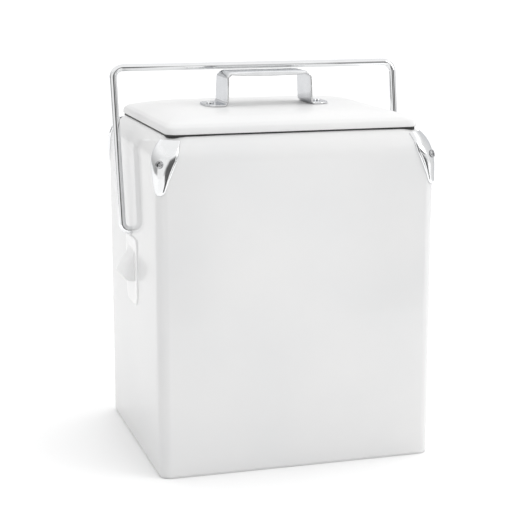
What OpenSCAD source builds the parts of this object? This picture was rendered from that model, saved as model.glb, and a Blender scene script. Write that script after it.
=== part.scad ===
// Picnic icebox: an insulated steel box with a lift-off lid and a swinging bail.
// The origin is at the centre of the base, +Z is up and the front faces -Y.

/* [Body] */
// Width of the body across the front
body_w = 300; // [292:1:320]
// Depth of the body from front to rear
body_d = 262; // [256:1:266]
// Height of the crown of the rolled top edge
body_h = 360; // [356:1:364]
// Radius of the four upright corners
corner_r = 12.5; // [10:0.5:16]
// Radius of the rolled edge around the top
roll_r = 32; // [30:1:34]
// Radius of the roll over each top corner, along its diagonal
ridge_r = 45; // [42:1:48]
// Thickness of the painted sheet
sheet = 1; // [0.8:0.1:1.2]
// Height of the sheet's lower edge above the floor
hem_z = 1.5; // [1:0.5:3]

/* [Tub] */
// How far the mouth of the sheet lies inside the outer faces
mouth_inset = 17; // [16.5:0.5:18]
// Height of the flat collar that the lid's seal rests on
collar_z = 356.8; // [356.4:0.1:356.8]
// Width of the collar's flat top
collar_w = 7.8; // [6:0.2:9]
// Depth of the collar under its top
collar_h = 17; // [12:1:24]
// Thickness of the tub's walls and floor
tub_wall = 2; // [1.5:0.5:3]
// Height of the upper side of the tub's floor
tub_floor_z = 24; // [20:1:30]

/* [Lid] */
// How far the lid's skirt lies inside the body's faces
lid_inset = 14; // [13:0.5:16]
// Height of the skirt's lower edge
lid_z = 357.2; // [357.2:0.2:358]
// Height of the skirt
skirt_h = 8; // [7:0.5:9]
// Rise of the pressed crown above the skirt
crown_rise = 9; // [7:0.5:9.5]
// Width of the curved band around the crown
crown_band = 45; // [35:1:50]
// Corner radius of the lid
lid_corner_r = 12; // [10:1:14]
// Depth of the plug under the liner's flange
plug_h = 13; // [8:1:16]

/* [Lid handle] */
// Distance between the middles of the handle's two legs
strap_span = 94; // [84:1:104]
// Width of the flat strap
strap_w = 50; // [40:1:50]
// Thickness of the strap
strap_t = 2; // [1.5:0.5:2.5]
// Height of the grip above the lid
strap_h = 36.5; // [32:0.5:36.5]
// Length of each foot
strap_foot = 22; // [18:1:26]

/* [Bail] */
// Diameter of the bail's rod
rod_d = 8; // [6:0.5:8]
// Height of the pivots
pivot_z = 241; // [236:1:244]
// Distance from the pivots to the middle of the grip bar
bail_reach = 175.8; // [175.8:0.2:178]
// How far the bail leans back at rest, in degrees
bail_lean = 10.1; // [10:0.1:11]
// Half the distance between the legs at the pivots
leg_low_x = 160.2; // [157:0.1:161]
// Half the distance between the legs at the top
leg_top_x = 161.5; // [160:0.5:164]
// Bend radius where a leg turns in to its pivot
low_bend_r = 8; // [7:0.5:8]
// Bend radius at the top corners
top_bend_r = 11; // [9:0.5:14]

/* [Corner guards] */
// How far a guard stands proud of the sheet
guard_proud = 2.2; // [1.8:0.1:2.6]
// Thickness of the guard's metal
guard_t = 1; // [0.8:0.1:1.2]
// Height of the guard's upper edge
guard_top_z = 354.4; // [352:0.1:354.6]
// Height of the middle of the rounded tip
guard_tip_z = 304; // [300:0.5:308]
// Radius of the rounded tip
guard_tip_r = 6.2; // [5:0.2:7]
// Height of the guard's widest part
guard_wide_z = 335; // [332:0.5:338]
// Half the guard's greatest width
guard_wide_r = 15; // [14.5:0.5:15]
// Radius of the guard's curved upper sides
guard_side_r = 42; // [38:1:46]
// Tilt of the guard's lower flanks from upright, in degrees
guard_flare = 16.5; // [16:0.5:17]
// Tilt of the guard's screw above the horizontal, in degrees
guard_screw_tilt = 18; // [14:1:22]

/* [Bottle opener] */
// Width of the opener's plate
opener_w = 56; // [50:1:60]
// Height of the plate's lower edge
opener_z = 160; // [156:1:166]
// Height of the plate
opener_h = 75; // [70:1:75]
// Thickness of the plate
opener_t = 2; // [1.5:0.5:2]
// How far the hood's lip stands out from the side panel
hood_out = 17.5; // [14:0.5:18]
// Width of the hood
hood_w = 32; // [28:1:34]

/* [Hidden] */
$fn = 96;
// Clearance between pieces that only lie next to each other
gap = 0.2;
// Radial clearance of a pin turning or standing in its hole
fit = 0.05;
// Overlap that makes a cut pass right through
cut = 5;

mouth_w = body_w - 2 * mouth_inset;
mouth_d = body_d - 2 * mouth_inset;
mouth_r = 16;
tub_w = mouth_w - 2 * gap - 2 * collar_w;
tub_d = mouth_d - 2 * gap - 2 * collar_w;
tub_r = 10;
lid_w = body_w - 2 * lid_inset;
lid_d = body_d - 2 * lid_inset;
lid_edge_z = lid_z + skirt_h;
lid_top_z = lid_edge_z + crown_rise;
crown_r = (crown_band * crown_band + crown_rise * crown_rise) / (2 * crown_rise);
seal_t = 4.2;
seal_w = 6;
liner_t = 1.5;
liner_z = collar_z + seal_t;
plug_gap = 2;
plug_w = tub_w - 2 * plug_gap;
plug_d = tub_d - 2 * plug_gap;
plug_r = tub_r - plug_gap;
pan_t = 1.2;
pan_h = 14;

rod_r = rod_d / 2;
leg_tilt = atan((leg_top_x - leg_low_x) / bail_reach);
low_turn = 90 - leg_tilt;
top_turn = 90 + leg_tilt;
low_tangent = low_bend_r * tan(low_turn / 2);
top_tangent = top_bend_r * tan(top_turn / 2);
bend_swell = 0.02;
bend_lap = 0.3;
rod_end_x = body_w / 2 - 17;
plate_t = 1.5;
plate_size = 44;
bush_neck_r = 7;
bush_flange_r = 10;
bush_flange_t = 2;
bush_end_x = body_w / 2 - sheet - 10;
clip_r = 8;
clip_t = 2;
clip_gap = 0.3;
pocket_r = 13;

guard_axis_x = body_w / 2 - corner_r;
guard_axis_y = body_d / 2 - corner_r;
ridge_axis = (guard_axis_x + guard_axis_y) / sqrt(2) + corner_r - ridge_r;
ridge_back = ridge_r - corner_r;
guard_screw_d = 3.8;
screw_head_d = 8.4;
screw_head_h = 2.6;
notch_inset = 5;
notch_z = 340;

opener_stud_z = [opener_z + 12, opener_z + 45];
opener_stud_d = 3.8;
opener_stud_h = 10;
hood_top_z = opener_z + 61;
hood_lip_z = opener_z + 38;
hood_mouth_z = opener_z + 26;
hood_wall = 2;

strap_x = strap_span / 2;
strap_low_r = 4;
strap_top_r = 6;
strap_top_z = lid_top_z + strap_h;
// The grip's upper face is crowned along the bail's swing, so that the bar passes over it
grip_crown_r = bail_reach - rod_r - 1.2;
strap_screw_x = strap_x + 14;
strap_screw_d = 4;
nut_d = 9;
nut_h = 3.2;

// Outline of a box seen from above, with round corners
module plan(w, d, r) {
  square([w - 2 * r, d], center = true);
  square([w, d - 2 * r], center = true);
  for (sx = [-1, 1], sy = [-1, 1]) translate([sx * (w / 2 - r), sy * (d / 2 - r)]) circle(r = r);
}

// Outline of the body from one side, with both top corners rolled
module roll_profile(w, h, r) {
  translate([-w / 2, 0]) square([w, h - r]);
  translate([r - w / 2, 0]) square([w - 2 * r, h]);
  for (s = [-1, 1]) translate([s * (w / 2 - r), h - r]) circle(r = r);
}

// A profile drawn across X and height, run through from front to rear
module along_depth(length) {
  rotate([90, 0, 0]) translate([0, 0, -length / 2]) linear_extrude(length) children();
}

// A profile drawn across Y and height, run through from left to right
module along_width(length) {
  rotate([90, 0, 90]) translate([0, 0, -length / 2]) linear_extrude(length) children();
}

// The body's outer form, grown or shrunk by an even amount
module body_form(grow) {
  w = body_w + 2 * grow;
  d = body_d + 2 * grow;
  diagonal = 2 * (ridge_axis + ridge_r + grow);
  intersection() {
    linear_extrude(body_h + grow) plan(w, d, corner_r + grow);
    along_depth(2 * body_d) roll_profile(w, body_h + grow, roll_r + grow);
    along_width(2 * body_w) roll_profile(d, body_h + grow, roll_r + grow);
    rotate([0, 0, 45]) along_depth(2 * body_w) roll_profile(diagonal, body_h + grow, ridge_r + grow);
    rotate([0, 0, -45]) along_depth(2 * body_w) roll_profile(diagonal, body_h + grow, ridge_r + grow);
  }
}

// Outline of a corner guard, across its width and up, grown by an even amount
module guard_outline(grow) {
  tip = guard_tip_r + grow;
  top = guard_top_z + min(grow, 0);
  tip_x = tip * cos(guard_flare);
  tip_y = guard_tip_z - tip * sin(guard_flare);
  top_x = tip_x + (top - tip_y) * tan(guard_flare);
  difference() {
    union() {
      translate([0, guard_tip_z]) circle(r = tip);
      polygon([[-tip_x, tip_y], [tip_x, tip_y], [top_x, top], [-top_x, top]]);
    }
    for (s = [0, 1]) mirror([s, 0]) difference() {
      translate([0, guard_wide_z - guard_wide_r]) square([4 * guard_wide_r, 3 * guard_wide_r]);
      translate([guard_wide_r - guard_side_r, guard_wide_z]) circle(r = guard_side_r + grow);
    }
  }
}

// Places its children in the frame of one corner: X points out along the diagonal
module at_corner(sx, sy) {
  angle = atan2(sy, sx);
  translate([sx * guard_axis_x, sy * guard_axis_y, 0]) rotate([0, 0, angle]) children();
}

// The guard's outline run through along the diagonal of its corner
module guard_prism(sx, sy, grow) {
  at_corner(sx, sy) translate([-4 * corner_r, 0, 0]) rotate([90, 0, 90])
    linear_extrude(8 * corner_r) guard_outline(grow);
}

// Places its children on a guard screw's axis: Z points out, from the ridge's own centre
module on_screw_axis(sx, sy) {
  at_corner(sx, sy) translate([-ridge_back, 0, body_h - ridge_r]) rotate([0, 90 - guard_screw_tilt, 0])
    children();
}

// A straight hole or shank on a guard screw's axis, from one distance to another
module corner_pin(sx, sy, from, to, r) {
  on_screw_axis(sx, sy) translate([0, 0, from]) cylinder(h = to - from, r = r);
}

module corner_pins(from, to, r) {
  for (sx = [-1, 1], sy = [-1, 1]) corner_pin(sx, sy, from, to, r);
}

// A straight hole or shank through a side wall, from one X to another
module side_pin(side, y, z, from, to, r) {
  translate([side * from, y, z]) rotate([0, side * 90, 0]) cylinder(h = to - from, r = r);
}

module opener_pins(from, to, r) {
  for (z = opener_stud_z) side_pin(-1, 0, z, from, to, r);
}

module outer_shell() {
  color("white") difference() {
    body_form(0);
    body_form(-sheet);
    translate([0, 0, body_h - roll_r]) linear_extrude(2 * roll_r) plan(mouth_w, mouth_d, mouth_r);
    translate([-body_w, -body_d, -cut]) cube([2 * body_w, 2 * body_d, cut + hem_z]);
    corner_pins(ridge_r - 5, ridge_r + 10, guard_screw_d / 2 + fit);
    opener_pins(body_w / 2 - cut, body_w / 2 + cut, opener_stud_d / 2 + fit);
    for (s = [-1, 1]) side_pin(s, 0, pivot_z, body_w / 2 - cut, body_w / 2 + cut, rod_r + 0.4);
    for (sx = [-1, 1], sy = [-1, 1]) intersection() {
      guard_prism(sx, sy, -notch_inset);
      translate([0, 0, notch_z]) linear_extrude(roll_r) square(2 * body_w, center = true);
    }
  }
}

module base_pan() {
  w = body_w - 2 * sheet;
  d = body_d - 2 * sheet;
  r = corner_r - sheet;
  color("gainsboro") difference() {
    linear_extrude(pan_h) plan(w, d, r);
    translate([0, 0, pan_t]) linear_extrude(pan_h) plan(w - 2 * pan_t, d - 2 * pan_t, r - pan_t);
  }
}

// The tub's outside, grown by an even amount
module tub_form(grow) {
  base_z = tub_floor_z - tub_wall - grow;
  translate([0, 0, base_z]) linear_extrude(collar_z - collar_h - base_z)
    plan(tub_w + 2 * tub_wall + 2 * grow, tub_d + 2 * tub_wall + 2 * grow, tub_r + tub_wall + grow);
}

// The collar's outside, grown by an even amount
module collar_form(grow) {
  base_z = collar_z - collar_h - grow;
  translate([0, 0, base_z]) linear_extrude(collar_z - base_z)
    plan(mouth_w - 2 * gap + 2 * grow, mouth_d - 2 * gap + 2 * grow, mouth_r - gap + grow);
}

module tub_liner() {
  color("whitesmoke") difference() {
    tub_form(0);
    translate([0, 0, tub_floor_z]) linear_extrude(collar_z) plan(tub_w, tub_d, tub_r);
  }
}

module tub_collar() {
  color("whitesmoke") difference() {
    collar_form(0);
    linear_extrude(2 * collar_z) plan(tub_w, tub_d, tub_r);
  }
}

module body_foam() {
  w = body_w - 2 * sheet - 2 * pan_t - 2 * gap;
  d = body_d - 2 * sheet - 2 * pan_t - 2 * gap;
  r = corner_r - sheet - pan_t - gap;
  rim_z = collar_z - collar_h - gap;
  color("khaki") difference() {
    union() {
      translate([0, 0, pan_t + gap]) linear_extrude(pan_h) plan(w, d, r);
      intersection() {
        body_form(-sheet - gap);
        translate([0, 0, pan_h + gap]) linear_extrude(rim_z - pan_h - gap) plan(body_w, body_d, corner_r);
      }
    }
    tub_form(gap);
    collar_form(gap);
    corner_pins(ridge_r - 13, ridge_r + 10, guard_screw_d / 2 + 1);
    opener_pins(body_w / 2 - opener_stud_h - 1, body_w / 2 + cut, nut_d / 2 + 1);
    for (s = [-1, 1]) {
      side_pin(s, 0, pivot_z, rod_end_x - 2, body_w / 2 + cut, pocket_r);
      translate([s * body_w / 2, 0, pivot_z])
        cube([2 * (sheet + plate_t + gap), plate_size + 2 * gap, plate_size + 2 * gap], center = true);
    }
  }
}

module corner_guard(sx, sy) {
  color("silver") difference() {
    intersection() {
      body_form(guard_proud);
      guard_prism(sx, sy, 0);
    }
    intersection() {
      body_form(guard_proud - guard_t);
      guard_prism(sx, sy, -guard_t);
    }
    body_form(gap);
    corner_pin(sx, sy, 0, 2 * ridge_r, guard_screw_d / 2 + 0.2);
  }
}

module corner_guard_front_left() {
  corner_guard(-1, -1);
}

module corner_guard_front_right() {
  corner_guard(1, -1);
}

module corner_guard_rear_left() {
  corner_guard(-1, 1);
}

module corner_guard_rear_right() {
  corner_guard(1, 1);
}

// A round pan head with a cross recess, standing on z = 0
module pan_head(d, h) {
  slot_w = d * 0.16;
  difference() {
    intersection() {
      cylinder(h = h, r = d / 2);
      translate([0, 0, h - d * 0.8]) sphere(r = d * 0.8);
    }
    for (a = [0, 90]) rotate([0, 0, a]) translate([-d * 0.28, -slot_w / 2, h * 0.45]) cube([d * 0.56, slot_w, h]);
  }
}

module guard_screws() {
  seat = ridge_r + guard_proud;
  color("silver") for (sx = [-1, 1], sy = [-1, 1]) {
    on_screw_axis(sx, sy) translate([0, 0, seat]) pan_head(screw_head_d, screw_head_h);
    corner_pin(sx, sy, ridge_r - 12, seat, guard_screw_d / 2);
  }
}

// The opener's hood from the side: X runs out from the panel, Y is the height
module hood_side(inset) {
  slope = inset * 1.4;
  polygon([
    [0, hood_top_z - slope],
    [opener_t, hood_top_z - slope],
    [hood_out - inset, hood_lip_z + 2 - inset / 2],
    [hood_out - inset, hood_lip_z - 1 - cut * sign(inset)],
    [opener_t, hood_mouth_z - cut * sign(inset)],
    [0, hood_mouth_z - cut * sign(inset)]
  ]);
}

module hood_block(inset, w) {
  translate([-body_w / 2, 0, 0]) mirror([1, 0, 0]) along_depth(w) hood_side(inset);
}

module opener_plate() {
  round_low = 14;
  round_top = 6;
  translate([-body_w / 2 - opener_t, 0, 0]) rotate([90, 0, 90]) linear_extrude(opener_t) {
    translate([-opener_w / 2, opener_z + round_low])
      square([opener_w, opener_h - round_low - round_top]);
    translate([round_low - opener_w / 2, opener_z]) square([opener_w - 2 * round_low, opener_h]);
    for (s = [-1, 1]) {
      translate([s * (opener_w / 2 - round_low), opener_z + round_low]) circle(r = round_low);
      translate([s * (opener_w / 2 - round_top), opener_z + opener_h - round_top]) circle(r = round_top);
    }
  }
}

module bottle_opener() {
  color("white") {
    opener_pins(body_w / 2 - opener_stud_h, body_w / 2 + opener_t / 2, opener_stud_d / 2);
    difference() {
      union() {
        opener_plate();
        hood_block(0, hood_w);
      }
      intersection() {
        hood_block(hood_wall, hood_w - 2 * hood_wall);
        translate([-body_w - opener_t - body_w / 2, -body_d / 2, 0]) cube([body_w, body_d, body_h]);
      }
    }
  }
}

// Nuts behind the side panel on the opener's two studs
module opener_nuts() {
  outer = body_w / 2 - sheet;
  color("lightgray") difference() {
    for (z = opener_stud_z) translate([-outer, 0, z]) rotate([0, 90, 0])
      cylinder(h = nut_h, r = nut_d / 2, $fn = 6);
    opener_pins(outer - nut_h - cut, outer + cut, opener_stud_d / 2 + fit);
  }
}

// Steel plate behind the side panel that spreads the bail's load
module pivot_plate(side) {
  inner = body_w / 2 - sheet - plate_t;
  color("lightgray") difference() {
    translate([side * (inner + plate_t / 2), 0, pivot_z])
      cube([plate_t, plate_size, plate_size], center = true);
    side_pin(side, 0, pivot_z, inner - cut, inner + cut, bush_neck_r + fit);
  }
}

module pivot_plate_left() {
  pivot_plate(-1);
}

module pivot_plate_right() {
  pivot_plate(1);
}

// Nylon bush that the rod's end turns in
module pivot_bush(side) {
  inner_face = body_w / 2 - sheet;
  flange_x = inner_face - plate_t - bush_flange_t;
  color("ivory") difference() {
    union() {
      side_pin(side, 0, pivot_z, bush_end_x, inner_face, bush_neck_r);
      side_pin(side, 0, pivot_z, flange_x, flange_x + bush_flange_t, bush_flange_r);
    }
    side_pin(side, 0, pivot_z, bush_end_x - cut, inner_face + cut, rod_r + fit);
  }
}

module pivot_bush_left() {
  pivot_bush(-1);
}

module pivot_bush_right() {
  pivot_bush(1);
}

// Part of a ring of round rod, in the X-Z plane, swept on from a start angle
module rod_bend(x, z, bend_r, start, turn) {
  translate([x, 0, z]) rotate([90, 0, 0]) rotate([0, 0, start])
    rotate_extrude(angle = turn) translate([bend_r, 0]) circle(r = rod_r + bend_swell);
}

// One end of the bail, drawn upright with its pivot at the origin
module bail_end() {
  low_x = leg_low_x - low_tangent;
  top_x = leg_top_x - top_tangent;
  leg_from = low_tangent - bend_lap;
  leg_len = bail_reach / cos(leg_tilt) - top_tangent + bend_lap - leg_from;
  translate([rod_end_x, 0, 0]) rotate([0, 90, 0]) cylinder(h = low_x + bend_lap - rod_end_x, r = rod_r);
  rod_bend(low_x, low_bend_r, low_bend_r, -90, low_turn);
  translate([leg_low_x + leg_from * sin(leg_tilt), 0, leg_from * cos(leg_tilt)])
    rotate([0, leg_tilt, 0]) cylinder(h = leg_len, r = rod_r);
  rod_bend(top_x, bail_reach - top_bend_r, top_bend_r, -leg_tilt, top_turn);
}

module bail_rod() {
  color("silver") translate([0, 0, pivot_z]) rotate([-bail_lean, 0, 0]) {
    bail_end();
    mirror([1, 0, 0]) bail_end();
    bar_half = leg_top_x - top_tangent + bend_lap;
    translate([-bar_half, 0, bail_reach]) rotate([0, 90, 0]) cylinder(h = 2 * bar_half, r = rod_r);
  }
}

// Push-on clip that keeps the rod's end in its bush
module bail_clip(side) {
  clip_x = bush_end_x - clip_gap - clip_t;
  color("dimgray") difference() {
    side_pin(side, 0, pivot_z, clip_x, clip_x + clip_t, clip_r);
    side_pin(side, 0, pivot_z, clip_x - cut, clip_x + cut, rod_r);
  }
}

module bail_clip_left() {
  bail_clip(-1);
}

module bail_clip_right() {
  bail_clip(1);
}

// The lid from one side: a skirt with a pressed crown that rises to a flat top
module lid_profile(w, grow) {
  half = w / 2 + grow;
  flat = w / 2 - crown_band;
  top = lid_top_z + grow;
  translate([-half, lid_z - cut]) square([2 * half, skirt_h + cut - crown_rise + 2]);
  translate([-flat, lid_z - cut]) square([2 * flat, top - lid_z + cut]);
  for (s = [0, 1]) mirror([s, 0]) intersection() {
    translate([flat, lid_top_z - crown_r]) circle(r = crown_r + grow, $fn = 360);
    translate([flat, lid_z - cut]) square([half - flat, top - lid_z + cut]);
  }
}

module lid_form(grow) {
  intersection() {
    translate([0, 0, lid_z - cut]) linear_extrude(3 * skirt_h + cut)
      plan(lid_w + 2 * grow, lid_d + 2 * grow, lid_corner_r + grow);
    along_depth(2 * lid_d) lid_profile(lid_w, grow);
    along_width(2 * lid_w) lid_profile(lid_d, grow);
  }
}

module lid_screw_pins(from_z, to_z, r) {
  for (s = [-1, 1]) translate([s * strap_screw_x, 0, from_z]) cylinder(h = to_z - from_z, r = r);
}

module lid_shell() {
  color("white") difference() {
    lid_form(0);
    lid_form(-sheet);
    translate([-body_w, -body_d, 0]) cube([2 * body_w, 2 * body_d, lid_z]);
    lid_screw_pins(lid_z, lid_top_z + cut, strap_screw_d / 2 + 0.2);
  }
}

module lid_liner() {
  w = lid_w - 2 * sheet - 2 * gap;
  d = lid_d - 2 * sheet - 2 * gap;
  color("whitesmoke") difference() {
    union() {
      translate([0, 0, liner_z]) linear_extrude(liner_t) plan(w, d, lid_corner_r - sheet - gap);
      translate([0, 0, liner_z - plug_h]) linear_extrude(plug_h + liner_t) plan(plug_w, plug_d, plug_r);
    }
    translate([0, 0, liner_z - plug_h + liner_t]) linear_extrude(plug_h + cut)
      plan(plug_w - 2 * liner_t, plug_d - 2 * liner_t, plug_r - liner_t);
  }
}

module lid_foam() {
  seat_z = liner_z + liner_t + gap;
  plug_z = liner_z - plug_h + liner_t + gap;
  inset = 2 * (liner_t + gap);
  color("khaki") difference() {
    union() {
      intersection() {
        lid_form(-sheet - gap);
        translate([0, 0, seat_z]) linear_extrude(2 * skirt_h) square(2 * lid_w, center = true);
      }
      translate([0, 0, plug_z]) linear_extrude(seat_z - plug_z + gap)
        plan(plug_w - inset, plug_d - inset, plug_r - inset / 2);
    }
    lid_screw_pins(lid_top_z - 14, lid_top_z + cut, strap_screw_d / 2 + 1);
    lid_screw_pins(lid_top_z - sheet - nut_h - 1, lid_top_z + cut, nut_d / 2 + 1);
  }
}

module lid_seal() {
  outer_inset = collar_w - seal_w - 1;
  color("dimgray") difference() {
    translate([0, 0, collar_z]) linear_extrude(seal_t)
      plan(mouth_w - 2 * outer_inset, mouth_d - 2 * outer_inset, mouth_r - outer_inset);
    translate([0, 0, collar_z - cut]) linear_extrude(seal_t + 2 * cut)
      plan(mouth_w - 2 * outer_inset - 2 * seal_w, mouth_d - 2 * outer_inset - 2 * seal_w, mouth_r - 2);
  }
}

// A quarter of a flat ring, in the quadrant of positive X and Y
module quarter_ring(r) {
  intersection() {
    difference() {
      circle(r = r + strap_t / 2);
      circle(r = r - strap_t / 2);
    }
    square(2 * r);
  }
}

// Half of the handle from the front: foot, leg and half of the grip
module strap_half() {
  base = lid_top_z + strap_t / 2;
  foot_x = strap_x + strap_low_r;
  grip_x = strap_x - strap_top_r;
  grip_z = strap_top_z - strap_t / 2;
  translate([foot_x, lid_top_z]) square([strap_foot - strap_low_r, strap_t]);
  translate([foot_x, base + strap_low_r]) rotate(180) quarter_ring(strap_low_r);
  translate([strap_x - strap_t / 2, base + strap_low_r])
    square([strap_t, grip_z - strap_top_r - base - strap_low_r]);
  translate([grip_x, grip_z - strap_top_r]) quarter_ring(strap_top_r);
  translate([0, grip_z - strap_t / 2]) square([grip_x, strap_t]);
}

module lid_handle() {
  foot_r = 13;
  color("silver") difference() {
    intersection() {
      along_depth(strap_w) {
        strap_half();
        mirror([1, 0]) strap_half();
      }
      linear_extrude(2 * body_h) plan(2 * (strap_x + strap_foot), strap_w, foot_r);
      along_width(2 * body_w) translate([0, pivot_z]) circle(r = grip_crown_r, $fn = 360);
    }
    lid_screw_pins(lid_top_z - cut, lid_top_z + cut, strap_screw_d / 2 + 0.2);
  }
}

module handle_screws() {
  seat = lid_top_z + strap_t;
  color("silver") {
    for (s = [-1, 1]) translate([s * strap_screw_x, 0, seat]) pan_head(8.5, 2.6);
    lid_screw_pins(lid_top_z - 10, seat, strap_screw_d / 2);
  }
}

module handle_nuts() {
  top = lid_top_z - sheet;
  color("lightgray") difference() {
    for (s = [-1, 1]) translate([s * strap_screw_x, 0, top - nut_h]) cylinder(h = nut_h, r = nut_d / 2, $fn = 6);
    lid_screw_pins(top - nut_h - cut, top + cut, strap_screw_d / 2 + fit);
  }
}

outer_shell();
base_pan();
tub_liner();
tub_collar();
body_foam();
corner_guard_front_left();
corner_guard_front_right();
corner_guard_rear_left();
corner_guard_rear_right();
guard_screws();
bottle_opener();
opener_nuts();
pivot_plate_left();
pivot_plate_right();
pivot_bush_left();
pivot_bush_right();
bail_rod();
bail_clip_left();
bail_clip_right();
lid_shell();
lid_foam();
lid_liner();
lid_seal();
lid_handle();
handle_screws();
handle_nuts();
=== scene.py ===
"""Looks of the picnic icebox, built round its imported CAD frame: metres, +Z up, the front faces -Y."""
import math

import bmesh
import bpy
from mathutils import Matrix, Vector


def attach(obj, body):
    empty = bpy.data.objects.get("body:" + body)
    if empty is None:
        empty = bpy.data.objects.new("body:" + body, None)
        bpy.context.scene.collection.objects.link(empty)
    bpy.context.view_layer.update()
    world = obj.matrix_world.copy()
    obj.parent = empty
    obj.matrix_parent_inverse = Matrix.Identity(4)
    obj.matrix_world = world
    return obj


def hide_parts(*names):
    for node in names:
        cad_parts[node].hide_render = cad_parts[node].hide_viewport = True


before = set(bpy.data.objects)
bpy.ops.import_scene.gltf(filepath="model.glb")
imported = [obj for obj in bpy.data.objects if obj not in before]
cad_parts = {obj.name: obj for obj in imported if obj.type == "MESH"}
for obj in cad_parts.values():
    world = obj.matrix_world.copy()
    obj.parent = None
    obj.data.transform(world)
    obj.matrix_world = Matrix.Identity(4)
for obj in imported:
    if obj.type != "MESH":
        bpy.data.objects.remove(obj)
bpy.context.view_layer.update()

MM = 0.001

# Main sizes in millimetres, as in the CAD: _X and _Y are half widths, _R radii, _Z heights.
# The roll is the round top edge of the body, and the ridge is the same edge over a corner.
BODY_X, BODY_Y = 150.0, 131.0
CORNER_R = 12.5
ROLL_R, RIDGE_R, CROWN_Z = 32.0, 45.0, 360.0
MOUTH_X, MOUTH_Y, MOUTH_R = 133.0, 114.0, 16.0
LID_X, LID_Y, LID_R = 136.0, 117.0, 12.0
LID_Z, LID_EDGE_Z, LID_TOP_Z = 357.2, 365.2, 374.2
# The lid's crown begins and ends at these distances from its edge
LID_RIM, LID_BAND = 2.6, 45.0
STRAP_BASE_Z, STRAP_TOP_Z = LID_TOP_Z + 1.0, LID_TOP_Z + 35.5
STRAP_END_X, STRAP_FOOT_X, STRAP_Y = 69.0, 51.0, 25.0
STRAP_FOOT_R, STRAP_TOP_R = 4.0, 6.0
HANDLE_SCREW_X = 61.0
PIVOT_Z = 241.0
ROD_R = 4.0
# Thickness of the painted skins and of the guards
SHEET = 1.0
ROOT2 = math.sqrt(2.0)

# Strength of the soft light from the front left, from the rear right, and what is added from above
LOW_LIGHT, BACK_LIGHT, TOP_LIGHT = 0.33, 0.94, 0.85
WHITE = (1.0, 1.0, 1.0, 1.0)


# ---------------------------------------------------------------- mesh helpers

def add_object(name, data):
    """A new object in the scene that holds the data."""
    obj = bpy.data.objects.new(name, data)
    bpy.context.scene.collection.objects.link(obj)
    return obj


def aim_object(obj, place, target, axis):
    """Puts an object at place, with its axis turned towards target."""
    obj.location = place
    aim = Vector(target) - Vector(place)
    obj.rotation_euler = aim.to_track_quat(axis, "Y").to_euler()


def make_object(name, verts, faces, material, sharp=40.0):
    """A mesh object from millimetre points, smooth shaded except across edges above sharp degrees."""
    mesh = bpy.data.meshes.new(name)
    mesh.from_pydata([Vector(v) * MM for v in verts], [], faces)
    bm = bmesh.new()
    bm.from_mesh(mesh)
    bmesh.ops.remove_doubles(bm, verts=bm.verts, dist=1e-6)
    bmesh.ops.dissolve_degenerate(bm, edges=bm.edges, dist=1e-7)
    bmesh.ops.recalc_face_normals(bm, faces=bm.faces)
    limit = math.radians(sharp)
    for face in bm.faces:
        face.smooth = True
    for edge in bm.edges:
        edge.smooth = len(edge.link_faces) == 2 and edge.calc_face_angle() < limit
    bm.to_mesh(mesh)
    bm.free()
    mesh.materials.append(material)
    return add_object(name, mesh)


def loft(rings, closed=True, cap_start=False, cap_end=False):
    """Vertices and faces of a skin over rings that all have the same number of points."""
    count = len(rings[0])
    verts = [p for ring in rings for p in ring]
    faces = []
    span = count if closed else count - 1
    for i in range(len(rings) - 1):
        for j in range(span):
            a, b = i * count + j, i * count + (j + 1) % count
            faces.append((a, b, b + count, a + count))
    if cap_start:
        faces.append(tuple(range(count - 1, -1, -1)))
    if cap_end:
        start = (len(rings) - 1) * count
        faces.append(tuple(range(start, start + count)))
    return verts, faces


def round_rect(x, y, r, z, corner_steps=14, edge_steps=6):
    """Points round a rectangle of half sizes x and y with corner radius r, all at height z."""
    quarters = ((1, 1), (-1, 1), (-1, -1), (1, -1))
    points = []
    for k, (sx, sy) in enumerate(quarters):
        cx, cy = sx * (x - r), sy * (y - r)
        for i in range(corner_steps + 1):
            a = math.radians(90.0 * (k + i / corner_steps))
            points.append((cx + r * math.cos(a), cy + r * math.sin(a), z))
        nx, ny = quarters[(k + 1) % 4]
        a = math.radians(90.0 * (k + 1))
        start = points[-1]
        end = (nx * (x - r) + r * math.cos(a), ny * (y - r) + r * math.sin(a), z)
        for i in range(1, edge_steps):
            t = i / edge_steps
            points.append((start[0] + (end[0] - start[0]) * t, start[1] + (end[1] - start[1]) * t, z))
    return points


def add_thickness(obj, thickness):
    """Gives a skin its thickness on the inner side, and makes it part of the mesh."""
    mod = obj.modifiers.new("thickness", "SOLIDIFY")
    mod.thickness = thickness * MM
    mod.offset = -1.0
    mod.use_even_offset = True
    graph = bpy.context.evaluated_depsgraph_get()
    mesh = bpy.data.meshes.new_from_object(obj.evaluated_get(graph))
    obj.modifiers.clear()
    obj.data = mesh


def join(name, parts):
    """One object made of several meshes, each of which keeps its material."""
    bm = bmesh.new()
    mesh = bpy.data.meshes.new(name)
    materials = []
    for part in parts:
        material = part.data.materials[0]
        if material not in materials:
            materials.append(material)
            mesh.materials.append(material)
        for face in part.data.polygons:
            face.material_index = materials.index(material)
        bm.from_mesh(part.data)
    bm.to_mesh(mesh)
    bm.free()
    for part in parts:
        bpy.data.objects.remove(part)
    return add_object(name, mesh)


def finish_piece(obj, body, node):
    """Lets a piece ride with its body, and hides the CAD node that it replaces."""
    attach(obj, body)
    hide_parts(node)


# ------------------------------------------------------------------- materials

def map_range(tree, source, low, high, start, end):
    """A number that runs from low to high while the source runs from start to end."""
    node = tree.nodes.new("ShaderNodeMapRange")
    node.inputs["From Min"].default_value = start
    node.inputs["From Max"].default_value = end
    node.inputs["To Min"].default_value = low
    node.inputs["To Max"].default_value = high
    tree.links.new(source, node.inputs["Value"])
    return node.outputs["Result"]


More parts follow.
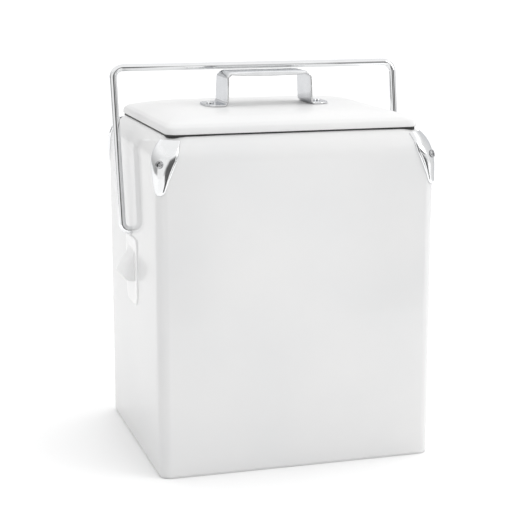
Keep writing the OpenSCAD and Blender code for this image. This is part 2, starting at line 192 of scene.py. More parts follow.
class Nodes:
    """A material with a short way to add and link shader nodes."""

    def __init__(self, name):
        self.material = bpy.data.materials.new(name)
        self.material.use_nodes = True
        self.tree = self.material.node_tree
        self.shader = self.tree.nodes["Principled BSDF"]
        coords = self.tree.nodes.new("ShaderNodeTexCoord")
        self.place = coords.outputs["Object"]

    def set(self, **values):
        """Constants for the shader's sockets, named with _ for each space."""
        for key, value in values.items():
            self.shader.inputs[key.replace("_", " ")].default_value = value

    def noise(self, scale, detail, stretch=None):
        """Noise in the object's own space, with a scale for each axis where stretch is given."""
        node = self.tree.nodes.new("ShaderNodeTexNoise")
        node.inputs["Scale"].default_value = scale
        node.inputs["Detail"].default_value = detail
        place = self.place
        if stretch:
            mapping = self.tree.nodes.new("ShaderNodeMapping")
            mapping.inputs["Scale"].default_value = stretch
            self.tree.links.new(place, mapping.inputs["Vector"])
            place = mapping.outputs["Vector"]
        self.tree.links.new(place, node.inputs["Vector"])
        return node.outputs["Fac"]

    def ramp(self, source, low, high, start=0.3, end=0.7):
        """A colour that runs from low to high while the source runs from start to end."""
        node = self.tree.nodes.new("ShaderNodeValToRGB")
        node.color_ramp.elements[0].position = start
        node.color_ramp.elements[1].position = end
        node.color_ramp.elements[0].color = (*low, 1.0)
        node.color_ramp.elements[1].color = (*high, 1.0)
        self.tree.links.new(source, node.inputs["Fac"])
        return node.outputs["Color"]

    def span(self, source, low, high, start=0.3, end=0.7):
        return map_range(self.tree, source, low, high, start, end)

    def bump(self, source, distance, strength, before=None):
        """A normal raised by the source over a distance in metres, on top of the normal before."""
        node = self.tree.nodes.new("ShaderNodeBump")
        node.inputs["Strength"].default_value = strength
        node.inputs["Distance"].default_value = distance
        self.tree.links.new(source, node.inputs["Height"])
        if before:
            self.tree.links.new(before, node.inputs["Normal"])
        return node.outputs["Normal"]

    def use(self, output, socket):
        """Links an output to the shader's socket."""
        self.tree.links.new(output, self.shader.inputs[socket])


def grey(value, warm=0.0):
    """A grey that leans to red when warm is above zero, and to blue below it."""
    return (value * (1.0 + warm), value, value * (1.0 - warm))


def paint_material(name, white, coat, rough, peel):
    """White enamel: faint mottling, a clear coat and orange peel of a depth in metres."""
    n = Nodes(name)
    n.set(IOR=1.5, Specular_IOR_Level=0.15, Coat_Weight=coat, Coat_Roughness=0.03, Coat_IOR=1.5)
    mottle = n.noise(9.0, 3.0)
    n.use(n.ramp(mottle, grey(white - 0.012, -0.004), grey(white + 0.012, 0.002)), "Base Color")
    n.use(n.span(n.noise(18.0, 2.0), rough * 0.92, rough * 1.08), "Roughness")
    wave = n.bump(n.noise(14.0, 1.0), 0.0003, 0.12)
    n.use(n.bump(n.noise(1100.0, 2.0), peel, 0.5, wave), "Normal")
    return n.material


def chrome_material(name, smooth, rough):
    """Plated metal: roughness between smooth and rough, and fine upright drawing marks."""
    n = Nodes(name)
    n.set(Metallic=1.0, Specular_Tint=(0.72, 0.73, 0.75, 1.0))
    n.use(n.ramp(n.noise(40.0, 3.0), grey(0.84, -0.008), grey(0.89, -0.008)), "Base Color")
    n.use(n.span(n.noise(180.0, 5.0), smooth, rough), "Roughness")
    n.use(n.bump(n.noise(300.0, 3.0, (1.0, 1.0, 0.15)), 0.00001, 0.25), "Normal")
    return n.material


def strap_material():
    """Pressed steel of the strap, with marks across and along it."""
    n = Nodes("pressed_bright_steel")
    n.set(Metallic=1.0, Specular_Tint=(0.7, 0.71, 0.73, 1.0))
    n.use(n.ramp(n.noise(50.0, 3.0), grey(0.72, -0.006), grey(0.80, -0.006)), "Base Color")
    n.use(n.span(n.noise(220.0, 5.0, (0.2, 1.0, 1.0)), 0.10, 0.20), "Roughness")
    n.use(n.bump(n.noise(900.0, 3.0, (1.0, 0.08, 1.0)), 0.00003, 0.5), "Normal")
    return n.material


def screw_material():
    """Darker plated steel of the guards' screws."""
    n = Nodes("plated_screw_steel")
    n.set(Metallic=1.0, Specular_Tint=(0.5, 0.5, 0.52, 1.0))
    n.use(n.ramp(n.noise(200.0, 4.0), grey(0.34, -0.01), grey(0.56, -0.01)), "Base Color")
    n.use(n.span(n.noise(500.0, 4.0), 0.12, 0.26), "Roughness")
    n.use(n.bump(n.noise(1500.0, 3.0), 0.00002, 0.5), "Normal")
    return n.material


def plastic_material(name, value, rough, grain):
    """Moulded plastic with a fine grain of a depth in metres."""
    n = Nodes(name)
    n.set(IOR=1.49)
    n.use(n.ramp(n.noise(25.0, 3.0), grey(value * 0.97, 0.004), grey(value, 0.006)), "Base Color")
    n.use(n.span(n.noise(240.0, 4.0), rough * 0.85, rough * 1.15), "Roughness")
    n.use(n.bump(n.noise(1500.0, 3.0), grain, 0.6), "Normal")
    return n.material


def rubber_material():
    """Black seal rubber, matt and slightly rough."""
    n = Nodes("seal_rubber")
    n.use(n.ramp(n.noise(300.0, 4.0), grey(0.018), grey(0.035)), "Base Color")
    n.use(n.span(n.noise(500.0, 3.0), 0.55, 0.75), "Roughness")
    n.use(n.bump(n.noise(2200.0, 2.0), 0.00006, 0.6), "Normal")
    return n.material


def zinc_material():
    """Zinc plate: dull, bluish and cloudy."""
    n = Nodes("zinc_plated_steel")
    n.set(Metallic=1.0, IOR=2.2)
    n.use(n.ramp(n.noise(120.0, 5.0), (0.42, 0.43, 0.45), (0.58, 0.59, 0.60)), "Base Color")
    n.use(n.span(n.noise(400.0, 4.0), 0.25, 0.42), "Roughness")
    n.use(n.bump(n.noise(900.0, 3.0), 0.00003, 0.5), "Normal")
    return n.material


def foam_material():
    """Yellowish foam with cells about 1.4 mm across."""
    n = Nodes("insulating_foam")
    voronoi = n.tree.nodes.new("ShaderNodeTexVoronoi")
    voronoi.inputs["Scale"].default_value = 700.0
    n.tree.links.new(n.place, voronoi.inputs["Vector"])
    cells = voronoi.outputs["Distance"]
    n.use(n.ramp(cells, (0.62, 0.50, 0.26), (0.80, 0.70, 0.42), 0.1, 0.8), "Base Color")
    n.use(n.span(n.noise(90.0, 4.0), 0.75, 0.95), "Roughness")
    n.use(n.bump(cells, 0.0004, 0.7), "Normal")
    return n.material


def floor_material():
    """Plain pale floor."""
    n = Nodes("studio_floor")
    n.use(n.ramp(n.noise(0.8, 2.0), grey(0.93), grey(0.94)), "Base Color")
    n.set(Roughness=0.85)
    return n.material


PAINT = paint_material("gloss_white_paint", 0.735, 0.6, 0.3, 0.000004)
LID_PAINT = paint_material("satin_white_paint", 0.745, 0.15, 0.42, 0.00005)
CHROME = chrome_material("polished_chrome", 0.02, 0.05)
GUARD = chrome_material("pressed_chrome", 0.11, 0.16)
STRAP = strap_material()
SCREW = screw_material()
# The opener has the body's white paint, drawn lighter here (0.89 against 0.735): painted light that
# brightens its shaded hood and leaves the plate a little lighter than the panel.
OPENER_BRIGHTENED_PAINT = paint_material("opener_paint_brightened_for_shade", 0.89, 0.5, 0.35, 0.00003)
LINER = plastic_material("white_liner_plastic", 0.78, 0.32, 0.00004)
NYLON = plastic_material("nylon", 0.66, 0.45, 0.00005)
RUBBER = rubber_material()
ZINC = zinc_material()
FOAM = foam_material()


# ------------------------------------------------------------------ body shell

def outline_at(z):
    """Half sizes and corner radius of the body's outline at height z."""
    inset = 0.0
    if z > CROWN_Z - ROLL_R:
        inset = ROLL_R - math.sqrt(max(ROLL_R**2 - (z - CROWN_Z + ROLL_R) ** 2, 0.0))
    diagonal = (BODY_X + BODY_Y) / ROOT2 - CORNER_R * (ROOT2 - 1.0)
    if z > CROWN_Z - RIDGE_R:
        diagonal -= RIDGE_R - math.sqrt(max(RIDGE_R**2 - (z - CROWN_Z + RIDGE_R) ** 2, 0.0))
    x, y = BODY_X - inset, BODY_Y - inset
    return x, y, ((x + y) / ROOT2 - diagonal) / (ROOT2 - 1.0)


def outline_distance(px, py, z):
    """How far a point is outside the body's outline at its height; negative inside."""
    x, y, r = outline_at(z)
    dx, dy = abs(px) - (x - r), abs(py) - (y - r)
    return math.hypot(max(dx, 0.0), max(dy, 0.0)) + min(max(dx, dy), 0.0) - r


def roll_height(px, py):
    """Height of the rolled edge above a point inside the body's outline."""
    low, high = CROWN_Z - RIDGE_R, CROWN_Z - 0.5
    for _ in range(40):
        mid = (low + high) / 2.0
        if outline_distance(px, py, mid) < 0.0:
            low = mid
        else:
            high = mid
    return low


def build_shell():
    """The painted skin, from its rounded lower edge over the rolled top to the mouth."""
    rings = []
    for z, inset in ((1.5, 0.8), (1.62, 0.35), (2.0, 0.08), (2.6, 0.0)):
        rings.append(round_rect(BODY_X - inset, BODY_Y - inset, CORNER_R - inset, z))
    levels = [20.0, 60.0, 110.0, 160.0, 210.0, 250.0, 280.0, 300.0, 312.0]
    below_crown = 5.2
    for i in range(1, 31):
        up = (RIDGE_R - below_crown) * math.sin(math.radians(3.0 * i))
        levels.append(CROWN_Z - RIDGE_R + up)
    rings += [round_rect(*outline_at(z), z) for z in levels]
    mouth = round_rect(MOUTH_X, MOUTH_Y, MOUTH_R, 0.0)
    rings.append([(px, py, roll_height(px, py)) for px, py, _ in mouth])
    verts, faces = loft(rings)
    shell = make_object("shell_skin", verts, faces, PAINT)
    add_thickness(shell, SHEET)
    finish_piece(shell, "body", "outer_shell")


# --------------------------------------------------------------- corner guards

GUARD_TIP_Z, GUARD_TIP_R, GUARD_TOP_Z = 304.0, 6.2, 350.8
GUARD_WIDE_Z, GUARD_WIDE_R, GUARD_SIDE_R = 335.0, 15.0, 42.0
GUARD_FLARE = math.radians(16.5)


def guard_half_width(z):
    """Half the guard's width at height z: a round tip, a flared flank, then a curved side."""
    if z < GUARD_TIP_Z - GUARD_TIP_R * math.sin(GUARD_FLARE):
        return math.sqrt(max(GUARD_TIP_R**2 - (z - GUARD_TIP_Z) ** 2, 0.0))
    flank = (GUARD_TIP_R + (z - GUARD_TIP_Z) * math.sin(GUARD_FLARE)) / math.cos(GUARD_FLARE)
    if z < GUARD_WIDE_Z - GUARD_WIDE_R:
        return flank
    side = GUARD_WIDE_R - GUARD_SIDE_R + math.sqrt(GUARD_SIDE_R**2 - (z - GUARD_WIDE_Z) ** 2)
    return min(flank, side)


def guard_edge_distance(s, z):
    """How far a point of the guard lies inside its outline."""
    s = abs(s)
    along = s * math.sin(GUARD_FLARE) + (z - GUARD_TIP_Z) * math.cos(GUARD_FLARE)
    if along < 0.0:
        return GUARD_TIP_R - math.hypot(s, z - GUARD_TIP_Z)
    flank = GUARD_TIP_R - (s * math.cos(GUARD_FLARE) - (z - GUARD_TIP_Z) * math.sin(GUARD_FLARE))
    if z < GUARD_WIDE_Z - GUARD_WIDE_R:
        return flank
    side = GUARD_SIDE_R - math.hypot(s + GUARD_SIDE_R - GUARD_WIDE_R, z - GUARD_WIDE_Z)
    return min(flank, side)


def guard_base(s, z):
    """Point of the body's surface in the first quadrant, at s across a corner's diagonal."""
    cx, cy = BODY_X - CORNER_R, BODY_Y - CORNER_R
    low, high = -45.0, 30.0
    for _ in range(40):
        q = (low + high) / 2.0
        if outline_distance(cx + (q - s) / ROOT2, cy + (q + s) / ROOT2, z) < 0.0:
            low = q
        else:
            high = q
    return Vector((cx + (low - s) / ROOT2, cy + (low + s) / ROOT2, z))


def surface_normal(p):
    """Outward direction of the body's surface at a point."""
    step = 0.05
    slope = Vector((
        outline_distance(p.x + step, p.y, p.z) - outline_distance(p.x - step, p.y, p.z),
        outline_distance(p.x, p.y + step, p.z) - outline_distance(p.x, p.y - step, p.z),
        outline_distance(p.x, p.y, p.z + step) - outline_distance(p.x, p.y, p.z - step),
    ))
    return slope.normalized()


def guard_levels():
    """Heights of the guard's rows, closest together at its tip."""
    tip = [GUARD_TIP_Z - GUARD_TIP_R * math.cos(math.radians(7.5 * i)) for i in range(1, 11)]
    rows = 64
    return tip + [tip[-1] + (GUARD_TOP_Z - tip[-1]) * i / rows for i in range(1, rows + 1)]


def guard_mesh():
    """Outer and inner skins of one guard in the first quadrant, joined round the edge."""
    proud, lip, gap, edge, columns = 2.2, 0.3, 0.12, 2.8, 44
    base = guard_base(0.0, GUARD_TIP_Z - GUARD_TIP_R)
    normal = surface_normal(base)
    rings = [[base + normal * lip] * (columns + 1) + [base + normal * gap] * (columns + 1)]
    for z in guard_levels():
        half = guard_half_width(z)
        outer_row, inner_row = [], []
        for j in range(columns + 1):
            s = half * math.sin(math.radians(90.0 * (2.0 * j / columns - 1.0)))
            depth = max(guard_edge_distance(s, z), 0.0)
            rise = math.sqrt(max(1.0 - (1.0 - min(depth / edge, 1.0)) ** 2, 0.0))
            base = guard_base(s, z)
            normal = surface_normal(base)
            outer = lip + (proud - lip) * rise
            outer_row.append(base + normal * outer)
            inner_row.append(base + normal * max(outer - SHEET, gap))
        rings.append(outer_row + inner_row[::-1])
    verts, faces = loft(rings)
    start, last = len(verts) - len(rings[-1]), len(verts) - 1
    for j in range(columns):
        faces.append((start + j, start + j + 1, last - 1 - j, last - j))
    return verts, faces


def build_guards():
    """The four guards, mirrored from one."""
    verts, faces = guard_mesh()
    for name, sx, sy in (
        ("corner_guard_front_left", -1, -1), ("corner_guard_front_right", 1, -1),
        ("corner_guard_rear_left", -1, 1), ("corner_guard_rear_right", 1, 1),
    ):
        points = [(v[0] * sx, v[1] * sy, v[2]) for v in verts]
        guard = make_object(name.replace("corner_guard", "guard_cap"), points, faces, GUARD)
        finish_piece(guard, "body", name)


# ---------------------------------------------------------------- screw heads

def screw_head(name, radius, height, at, axis, turn, material):
    """A domed head with a cross recess turned by turn degrees, on the point at, along axis."""
    segments = 96
    angles = [2.0 * math.pi * k / segments for k in range(segments)]
    arm, reach, slope = radius * 0.15, radius * 0.58, 0.28
    flat = Matrix.Rotation(math.radians(turn), 3, "Z")

    def recess(x, y):
        """Depth of the cross below the dome."""
        depth = 0.0
        for u, v in ((x, y), (y, x)):
            across = max(0.0, 1.0 - max(abs(u) - arm, 0.0) / slope)
            along = max(0.0, 1.0 - max(abs(v) - reach * 0.75, 0.0) / (reach * 0.35))
            depth = max(depth, min(across, along))
        return depth * height * 0.62

    rings = []
    for i in range(25):
        r = radius * (i / 26.0)
        top = height * (1.0 - 0.42 * (r / radius) ** 2)
        around = [(r * math.cos(a), r * math.sin(a)) for a in angles]
        rings.append([Vector((x, y, top - recess(x, y))) for x, y in around])
    for r, z in ((0.97, 0.50), (1.0, 0.36), (1.0, 0.0)):
        rings.append([
            Vector((r * radius * math.cos(a), r * radius * math.sin(a), z * height)) for a in angles
        ])
    turn_to = Vector((0, 0, 1)).rotation_difference(Vector(axis)).to_matrix()
    placed = [[turn_to @ (flat @ p) + Vector(at) for p in ring] for ring in rings]
    verts, faces = loft(placed, cap_end=True)
    return make_object(name, verts, faces, material, sharp=50.0)


def build_guard_screws():
    """One screw in each guard, square to the ridge and tilted up."""
    radius, height, above_ridge = 4.2, 2.7, 2.0
    tilt = math.radians(18.0)
    inward = (CORNER_R - RIDGE_R) / ROOT2
    centre_x, centre_y = BODY_X - CORNER_R + inward, BODY_Y - CORNER_R + inward
    heads = []
    for i, (sx, sy) in enumerate(((-1, -1), (1, -1), (-1, 1), (1, 1))):
        axis = Vector((sx * math.cos(tilt) / ROOT2, sy * math.cos(tilt) / ROOT2, math.sin(tilt)))
        centre = Vector((sx * centre_x, sy * centre_y, CROWN_Z - RIDGE_R))
        at = centre + axis * (RIDGE_R + above_ridge)
        heads.append(screw_head(f"head_{i}", radius, height, at, axis, 20.0 + 33.0 * i, SCREW))
    finish_piece(join("guard_screw_heads", heads), "body", "guard_screws")


def build_handle_screws():
    """One screw in each foot of the strap."""
    radius, height, above_lid = 4.25, 2.6, 1.9
    up = (0, 0, 1)
    heads = []
    for i, x in enumerate((-HANDLE_SCREW_X, HANDLE_SCREW_X)):
        at = (x, 0.0, LID_TOP_Z + above_lid)
        heads.append(screw_head(f"foot_{i}", radius, height, at, up, 15.0 + 50.0 * i, CHROME))
    finish_piece(join("handle_screw_heads", heads), "lid", "handle_screws")


# ------------------------------------------------------------------------- lid

def lid_crown():
    """The crowned border of the lid: inset from the edge and height, from the rim to the flat top."""
    rise = LID_TOP_Z - LID_EDGE_Z
    arc = (LID_BAND**2 + rise**2) / (2.0 * rise)
    steps = 28
    crown = []
    for i in range(steps + 1):
        inset = LID_RIM + (LID_BAND - LID_RIM) * i / steps
        crown.append((inset, LID_TOP_Z - arc + math.sqrt(arc**2 - (LID_BAND - inset) ** 2)))
    return crown


def lid_ring(inset, r, z):
    """The lid's outline drawn in by inset, with corner radius r, at height z."""
    return round_rect(LID_X - inset, LID_Y - inset, r, z)


def build_lid():
    """The lid's painted skin: a short edge, a soft rim and a crown."""
    rim_in, rim_up, below_cad = 2.4, 6.2, 0.15
    rings = []
    for z, inset in ((LID_Z, 0.7), (LID_Z + 0.15, 0.3), (LID_Z + 0.6, 0.0)):
        rings.append(lid_ring(inset, LID_R - inset, z))
    for i in range(1, 13):
        a = math.radians(6.6 * i)
        inset, z = rim_in * (1.0 - math.cos(a)), LID_Z + 1.4 + rim_up * math.sin(a)
        rings.append(lid_ring(inset, LID_R + inset, z))
    for inset, z in lid_crown()[1:]:
        rings.append(lid_ring(inset, LID_R + inset * 0.9, z - below_cad))
    verts, faces = loft(rings, cap_end=True)
    lid = make_object("lid_skin", verts, faces, LID_PAINT)
    add_thickness(lid, SHEET)
    finish_piece(lid, "lid", "lid_shell")


def build_lid_core():
    """The foam that fills the lid, kept clear of the painted skin."""
    clear = 1.4
    rings = []
    for inset, z in ((2.0, 362.8), (2.4, 363.4)):
        rings.append(lid_ring(inset, LID_R - 2.2 + inset * 0.7, z))
    for inset, z in lid_crown():
        rings.append(lid_ring(inset + clear, LID_R + inset * 0.9 - clear, z - clear))
    verts, faces = loft(rings, cap_start=True, cap_end=True)
    core = make_object("lid_foam_core", verts, faces, FOAM)
    finish_piece(core, "lid", "lid_foam")


def build_seal():
    """The rubber seal, whose black lip hangs down behind the lid's edge to just above the roll: the
    seal is real, and its lip reaching out to the edge is a dark sheet that stands in as painted shade
    for the gap line.
    """
    corner_x, above_roll = 122.8, 0.45
    rings = []
    # The section, half width and height, where None stands for a height just above the roll
    for x, z in (
        (126.0, 357.0), (131.6, 357.0), (132.4, None), (134.4, None), (134.8, None),
        (134.8, 357.8), (133.9, 358.6), (132.2, 359.4), (132.0, 361.0), (126.0, 361.0),
    ):
        ring = lid_ring(LID_X - x, max(x - corner_x, 4.0), z or 0.0)
        if z is None:
            ring = [(px, py, min(roll_height(px, py) + above_roll, LID_Z)) for px, py, _ in ring]
        rings.append(ring)
    rings.append(rings[0])
    verts, faces = loft(rings)
    seal = make_object("seal_with_shade_lip", verts, faces, RUBBER, sharp=35.0)
    finish_piece(seal, "lid", "lid_seal")


# -------------------------------------------------------------- the lid's strap

def strap_path():
    """Stations along the strap: (x, z, direction of its outer side)."""
    base, top, foot_r, top_r = STRAP_BASE_Z, STRAP_TOP_Z, STRAP_FOOT_R, STRAP_TOP_R
    leg_x = STRAP_FOOT_X - foot_r
    flat_x = leg_x - top_r
    up = math.radians(90.0)
    half = []
    for i in range(15):
        half.append((STRAP_END_X - (STRAP_END_X - STRAP_FOOT_X) * i / 14.0, base, up))
    for i in range(1, 9):
        a = math.radians(-90.0 - 90.0 * i / 8.0)
        x, z = STRAP_FOOT_X + foot_r * math.cos(a), base + foot_r + foot_r * math.sin(a)
        half.append((x, z, a + math.pi))
    for i in range(1, 13):
        half.append((leg_x, base + foot_r + (top - top_r - base - foot_r) * i / 12.0, 0.0))
    for i in range(1, 11):
        a = math.radians(9.0 * i)
        half.append((flat_x + top_r * math.cos(a), top - top_r + top_r * math.sin(a), a))
    for i in range(1, 15):
        half.append((flat_x - flat_x * i / 14.0, top, up))
    other = [(-x, z, math.pi - a) for x, z, a in reversed(half[:-1])]
    return half + other


def strap_width(x, height):
    """Half width of the strap: rounded feet, full-width legs and a slightly narrower grip."""
    corner, narrower = 13.0, 1.8
    reach = max(0.0, STRAP_END_X - abs(x))
    width = STRAP_Y
    if height < 0.02 and reach < corner:
        width = STRAP_Y - corner + math.sqrt(max(corner**2 - (corner - reach) ** 2, 0.0))
    ease = min(max((height - 0.55) / 0.45, 0.0), 1.0)
    return width - narrower * ease * ease * (3.0 - 2.0 * ease)


def strap_section(width, drop):
    """The strap's section as (across, out): two faces and two round edges that droop by drop."""
    steps, edge, level = 24, 0.95, 0.62

    def sag(y):
        """How far the strap droops at y, towards its long edges."""
        far = max(abs(y) / width - level, 0.0) / 0.38
        return drop * far * far

    section = []
    for side in (1.0, -1.0):
        for j in range(steps + 1):
            y = side * (width - edge) * (2.0 * j / steps - 1.0)
            section.append((y, side - sag(y)))
        y = side * (width - edge)
        for k in range(1, 6):
            b = math.radians(side * (90.0 - 30.0 * k))
            section.append((y + side * edge * math.cos(b), math.sin(b) - sag(y)))
    return section


def build_strap():
    """The strap handle: a flat band with drooping long edges, on two legs with turned-out feet."""
    rings = []
    for x, z, a in strap_path():
        height = (z - STRAP_BASE_Z) / (STRAP_TOP_Z - STRAP_BASE_Z)
        drop = 0.0
        if height > 0.9:
            drop = 1.1 + 2.2 * math.sqrt(max(1.0 - (x / 43.0) ** 2, 0.0))
        splay = 0.0
        if abs(x) > 30.0 and height > 0.02:
            splay = 1.3 * (0.45 - height) * math.copysign(1.0, x)
        out = Vector((math.cos(a), 0.0, math.sin(a)))
        section = strap_section(strap_width(x, height), drop)
        rings.append([Vector((x + splay, y, z)) + out * lift for y, lift in section])
    verts, faces = loft(rings, cap_start=True, cap_end=True)
    strap = make_object("strap_handle", verts, faces, STRAP)
    finish_piece(strap, "lid", "lid_handle")


# ------------------------------------------------------------------------ bail

def arc_points(centre, radius, start, turn, steps):
    """Points along an arc that begins at the angle start, without its first point."""
    points = []
    for i in range(1, steps + 1):
        a = math.radians(start + turn * i / steps)
        points.append((centre[0] + radius * math.cos(a), centre[1] + radius * math.sin(a)))
    return points


def bail_path():
    """Centre line of the upright bail, (x, z) from the pivot, from one rod end to the other."""
    low_x, top_x, reach, low_r, top_r, end_x = 160.2, 161.5, 175.8, 8.0, 11.0, 133.2
    tilt = math.degrees(math.atan((top_x - low_x) / reach))
    low_t = low_r * math.tan(math.radians((90.0 - tilt) / 2.0))
    top_t = top_r * math.tan(math.radians((90.0 + tilt) / 2.0))
    half = [(end_x, 0.0), (low_x - low_t - 6.0, 0.0), (low_x - low_t, 0.0)]
    half += arc_points((low_x - low_t, low_r), low_r, -90.0, 90.0 - tilt, 14)
    start = half[-1]
    end_angle = math.radians(-tilt)
    end = (top_x - top_t + top_r * math.cos(end_angle), reach - top_r + top_r * math.sin(end_angle))
    for i in range(1, 9):
        x = start[0] + (end[0] - start[0]) * i / 8.0
        half.append((x, start[1] + (end[1] - start[1]) * i / 8.0))
    half += arc_points((top_x - top_t, reach - top_r), top_r, -tilt, 90.0 + tilt, 18)
    half += [((top_x - top_t) * (1.0 - i / 8.0), reach) for i in range(1, 9)]
    return half + [(-x, z) for x, z in reversed(half[:-1])]


def build_bail():
    """The bail: one round rod along its centre line, leant back to where it rests."""
    path = bail_path()
    lean = Matrix.Rotation(math.radians(-10.1), 3, "X")
    pivot = Vector((0.0, 0.0, PIVOT_Z))
    segments = 32
    angles = [2.0 * math.pi * k / segments for k in range(segments)]
    rings = []
    for i, (x, z) in enumerate(path):
        before, after = path[max(i - 1, 0)], path[min(i + 1, len(path) - 1)]
        along = Vector((after[0] - before[0], 0.0, after[1] - before[1])).normalized()
        side = Vector((-along.z, 0.0, along.x))
        ring = []
        for a in angles:
            across = side * ROD_R * math.cos(a)
            ring.append(Vector((x, 0.0, z)) + across + Vector((0.0, ROD_R * math.sin(a), 0.0)))
        rings.append([lean @ p + pivot for p in ring])
    verts, faces = loft(rings, cap_start=True, cap_end=True)
    bail = make_object("bail_bar", verts, faces, CHROME, sharp=60.0)
    finish_piece(bail, "bail", "bail_rod")


# --------------------------------------------------------------- bottle opener

def opener_outline(inset):
    """Outline of the opener's plate as (y, z), shrunk by inset."""
    half, top_z, low_z, top_r, low_r = 28.0, 235.0, 160.0, 6.0, 14.0
    corners = (
        (half - top_r, top_z - top_r, top_r), (top_r - half, top_z - top_r, top_r),
        (low_r - half, low_z + low_r, low_r), (half - low_r, low_z + low_r, low_r),
    )
    points = []
    for k, (cy, cz, r) in enumerate(corners):
        for i in range(17):
            a = math.radians(90.0 * k + 90.0 * i / 16.0)
            points.append((cy + (r - inset) * math.cos(a), cz + (r - inset) * math.sin(a)))
    return points


def opener_plate():
    """The opener's flat plate, with a rounded rim."""
    rim = (
        (0.02, 0.0), (0.4, 0.04), (0.85, 0.3), (1.25, 0.75), (1.5, 1.35),
        (1.58, 2.0), (1.55, 2.7), (1.42, 3.5), (1.3, 5.0),
    )
    rings = [[(-BODY_X - out, y, z) for y, z in opener_outline(inset)] for out, inset in rim]
    verts, faces = loft(rings, cap_start=True, cap_end=True)
    return make_object("opener_plate", verts, faces, OPENER_BRIGHTENED_PAINT)


def opener_hood():
    """The opener's hood, which runs down and out from the plate to an arched lip."""
    half, top_z, lip_z, low_z, inner, reach = 16.0, 221.5, 198.0, 187.0, 1.35, 17.4
    columns, steps = 40, 34
    rows = []
    for j in range(columns + 1):
        y = half * math.sin(math.radians(90.0 * (2.0 * j / columns - 1.0)))
        side = (1.0 - abs(y / half) ** 3.2) ** (1.0 / 3.2)
        edge_z = low_z + (lip_z - low_z) * (1.0 - abs(y / half) ** 5.0)
        row = []
        for i in range(steps + 1):
            z = top_z + (edge_z - top_z) * (i / steps)
            down = min(max((top_z - z) / (top_z - lip_z), 0.0), 1.0)
            # Slightly hollow under the top edge, and rounded over towards the lip
            ramp = 1.12 * down - 0.12 * down**4
            ramp -= 0.10 * math.sin(math.pi * min(down * 1.5, 1.0)) * (1.0 - down)
            row.append((-BODY_X - (inner + (reach - inner) * min(ramp, 1.0) * side), y, z))
        rows.append(row)
    verts, faces = loft(rows, closed=False)
    hood = make_object("opener_hood", verts, faces, OPENER_BRIGHTENED_PAINT, sharp=70.0)
    if sum(p.normal.x for p in hood.data.polygons) > 0.0:
        hood.data.flip_normals()
    add_thickness(hood, 1.6)
    return hood


def build_opener():
    """The bottle opener: plate and hood as one casting."""
    opener = join("opener_casting", [opener_plate(), opener_hood()])
    finish_piece(opener, "body", "bottle_opener")


# ------------------------------------------------------- finish of the CAD nodes

def paint_cad_nodes():
    """Materials for the CAD nodes that no piece replaces."""
    looks = (
        (PAINT, ("base_pan",)),
        (LINER, ("tub_liner", "tub_collar", "lid_liner")),
        (FOAM, ("body_foam",)),
        (NYLON, ("pivot_bush_left", "pivot_bush_right")),
        (ZINC, ("opener_nuts", "handle_nuts", "pivot_plate_left", "pivot_plate_right")),
        (ZINC, ("bail_clip_left", "bail_clip_right")),
    )
    for material, names in looks:
        for name in names:
            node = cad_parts[name]
            node.data.materials.clear()
            node.data.materials.append(material)


# ---------------------------------------------------------------------- studio

def build_camera():
    """The camera stands at the front left and looks slightly down."""
    down, right = 12.08, 16.57
    data = bpy.data.cameras.new("camera")
    data.lens = 99.73
    data.sensor_width = 36.0
    data.clip_start = 0.05
    data.clip_end = 50.0
    camera = add_object("camera", data)
    camera.location = (-0.459, -1.547, 0.538)
    camera.rotation_euler = (math.radians(90.0 - down), 0.0, math.radians(-right))
    bpy.context.scene.camera = camera


def area_light(name, place, target, size, power):
    """A rectangular area light aimed at target."""
    data = bpy.data.lights.new(name, "AREA")
    data.shape = "RECTANGLE"
    data.size, data.size_y = size
    data.energy = power
    aim_object(add_object(name, data), place, target, "-Z")


def flat_sheet(name, x, y, material):
    """A level rectangle of half sizes x and y, in metres."""
    mesh = bpy.data.meshes.new(name)
    mesh.from_pydata([(-x, -y, 0), (x, -y, 0), (x, y, 0), (-x, y, 0)], [], [(0, 1, 2, 3)])
    mesh.materials.append(material)
    return add_object(name, mesh)


def fade_edges(n, x, y):
    """Lets the material of a card of half sizes x and y fade out towards the card's edges."""
    solid = 0.6
    links = n.tree.links
    split = n.tree.nodes.new("ShaderNodeSeparateXYZ")
    product = n.tree.nodes.new("ShaderNodeMath")
    product.operation = "MULTIPLY"
    links.new(n.place, split.inputs["Vector"])
    for i, (axis, half) in enumerate((("X", x), ("Y", y))):
        size = n.tree.nodes.new("ShaderNodeMath")
        size.operation = "ABSOLUTE"
        links.new(split.outputs[axis], size.inputs[0])
        fade = n.span(size.outputs["Value"], 1.0, 0.0, half * solid, half)
        fade.node.interpolation_type = "SMOOTHSTEP"
        links.new(fade, product.inputs[i])
    n.use(product.outputs["Value"], "Alpha")


def card(name, place, target, size, glow):
    """A studio card that only reflections see: a black flag, or a glowing white one."""
    x, y = size[0] / 2.0, size[1] / 2.0
    n = Nodes(name)
    n.set(Base_Color=(0.01, 0.01, 0.01, 1.0), Roughness=1.0, Specular_IOR_Level=0.0)
    n.set(Emission_Color=WHITE, Emission_Strength=glow)
    fade_edges(n, x, y)
    sheet = flat_sheet(name, x, y, n.material)
    aim_object(sheet, place, target, "Z")
    sheet.visible_camera = False
    sheet.visible_diffuse = False
    sheet.visible_shadow = False


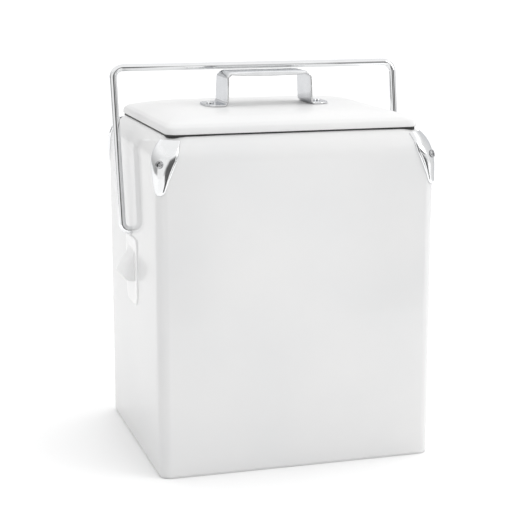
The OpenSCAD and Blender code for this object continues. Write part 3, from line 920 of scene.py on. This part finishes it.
def light_sky(tree):
    """Soft light all round, weaker from the front and left, with more on top from above."""
    coords = tree.nodes.new("ShaderNodeTexCoord")
    along = tree.nodes.new("ShaderNodeVectorMath")
    along.operation = "DOT_PRODUCT"
    along.inputs[1].default_value = (0.87, 0.49, 0.0)
    split = tree.nodes.new("ShaderNodeSeparateXYZ")
    total = tree.nodes.new("ShaderNodeMath")
    total.operation = "ADD"
    tree.links.new(coords.outputs["Generated"], along.inputs[0])
    tree.links.new(coords.outputs["Generated"], split.inputs["Vector"])
    level = map_range(tree, along.outputs["Value"], LOW_LIGHT, BACK_LIGHT, -0.75, 0.6)
    rise = map_range(tree, split.outputs["Z"], 0.0, TOP_LIGHT, 0.15, 0.9)
    tree.links.new(level, total.inputs[0])
    tree.links.new(rise, total.inputs[1])
    background = tree.nodes["Background"]
    background.inputs["Color"].default_value = WHITE
    tree.links.new(total.outputs["Value"], background.inputs["Strength"])


def build_floor():
    """The floor, just under the base so that the two don't share a plane."""
    floor = flat_sheet("floor", 25, 25, floor_material())
    floor.location.z = -0.0003


def build_backdrop():
    """A white wall round the studio, inside the floor's edge, seen by the camera alone."""
    rings = [round_rect(24000.0, 24000.0, 20000.0, z) for z in (-2000.0, 16000.0)]
    verts, faces = loft(rings)
    mesh = bpy.data.meshes.new("backdrop")
    mesh.from_pydata([Vector(v) * MM for v in verts], [], faces)
    n = Nodes("backdrop_white")
    n.use(n.ramp(n.noise(0.3, 1.0), grey(0.9), grey(0.92)), "Base Color")
    n.set(Roughness=1.0, Emission_Color=WHITE, Emission_Strength=0.7)
    mesh.materials.append(n.material)
    wall = add_object("backdrop", mesh)
    wall.visible_diffuse = False
    wall.visible_glossy = False
    wall.visible_shadow = False


def build_studio():
    """World, floor, backdrop, one light, and the cards that shape the reflections."""
    scene = bpy.context.scene
    scene.view_settings.view_transform = "Standard"
    world = bpy.data.worlds.new("studio")
    scene.world = world
    world.use_nodes = True
    light_sky(world.node_tree)
    build_floor()
    build_backdrop()
    area_light("key_right", (1.3, -1.1, 1.2), (0.0, 0.0, 0.25), (0.8, 0.8), 4.8)
    card("flag_left", (-0.19, -0.75, 0.36), (-0.19, 0.0, 0.36), (0.62, 0.95), 0.1)
    card("flag_right", (0.52, -0.75, 0.14), (0.52, 0.0, 0.14), (0.55, 0.5), 0.12)
    card("flag_high", (0.62, -0.75, 0.57), (0.62, 0.0, 0.57), (0.6, 0.26), 0.0)
    card("glow_right", (1.5, 0.3, 0.5), (0.0, 0.0, 0.3), (2.4, 2.2), 0.8)
    card("glow_left", (-1.7, -1.0, 0.75), (0.0, 0.0, 0.3), (2.4, 2.2), 0.95)
    card("glow_above", (0.0, 0.0, 2.4), (0.0, 0.0, 0.0), (5.0, 5.0), 0.97)


build_camera()
build_studio()
build_shell()
build_guards()
build_guard_screws()
build_handle_screws()
build_lid()
build_lid_core()
build_seal()
build_strap()
build_bail()
build_opener()
paint_cad_nodes()
